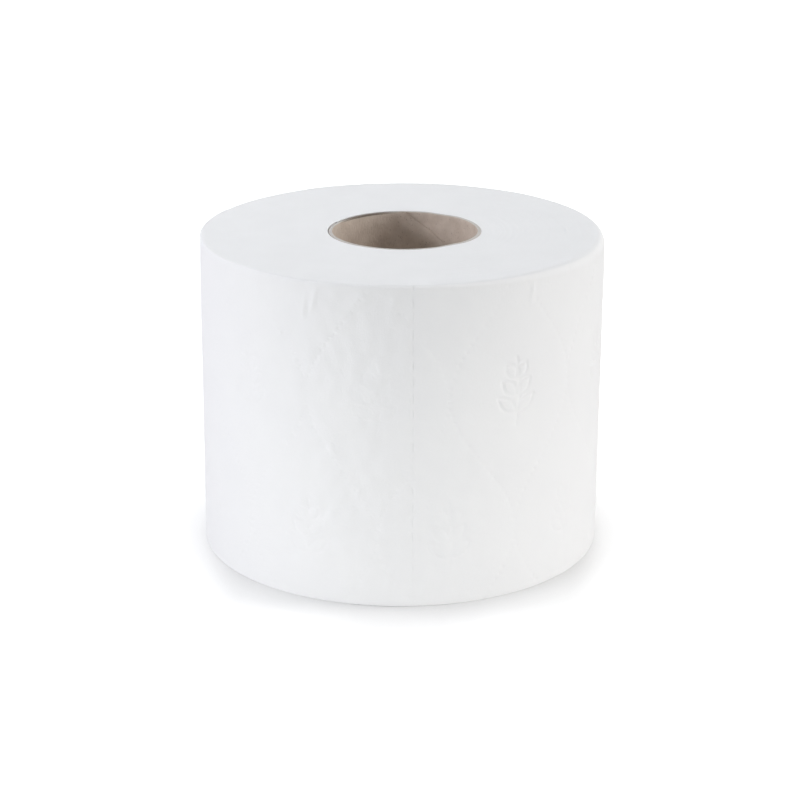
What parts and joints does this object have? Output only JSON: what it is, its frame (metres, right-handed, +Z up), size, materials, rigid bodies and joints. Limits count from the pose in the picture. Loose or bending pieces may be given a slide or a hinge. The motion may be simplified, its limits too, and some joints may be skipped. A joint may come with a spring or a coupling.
{
  "type": "toilet paper roll",
  "caption": "White toilet paper roll wound on an open cardboard tube, with spiral turns, a free tail and perforated sheets.",
  "frame": {"origin": "centre of the lower end face, on the cardboard tube's axis", "axes": "+Z up along the tube's axis, -Y towards the viewer, +X to the viewer's right"},
  "size_m": [0.122, 0.1218, 0.0966],
  "materials": {
    "tissue": "soft matt white tissue, finely embossed",
    "core_board": "rough grey-brown recycled board"
  },
  "bodies": {
    "root": {"wound_paper": "tissue", "core_tube": "core_board"}
  },
  "joints": []
}
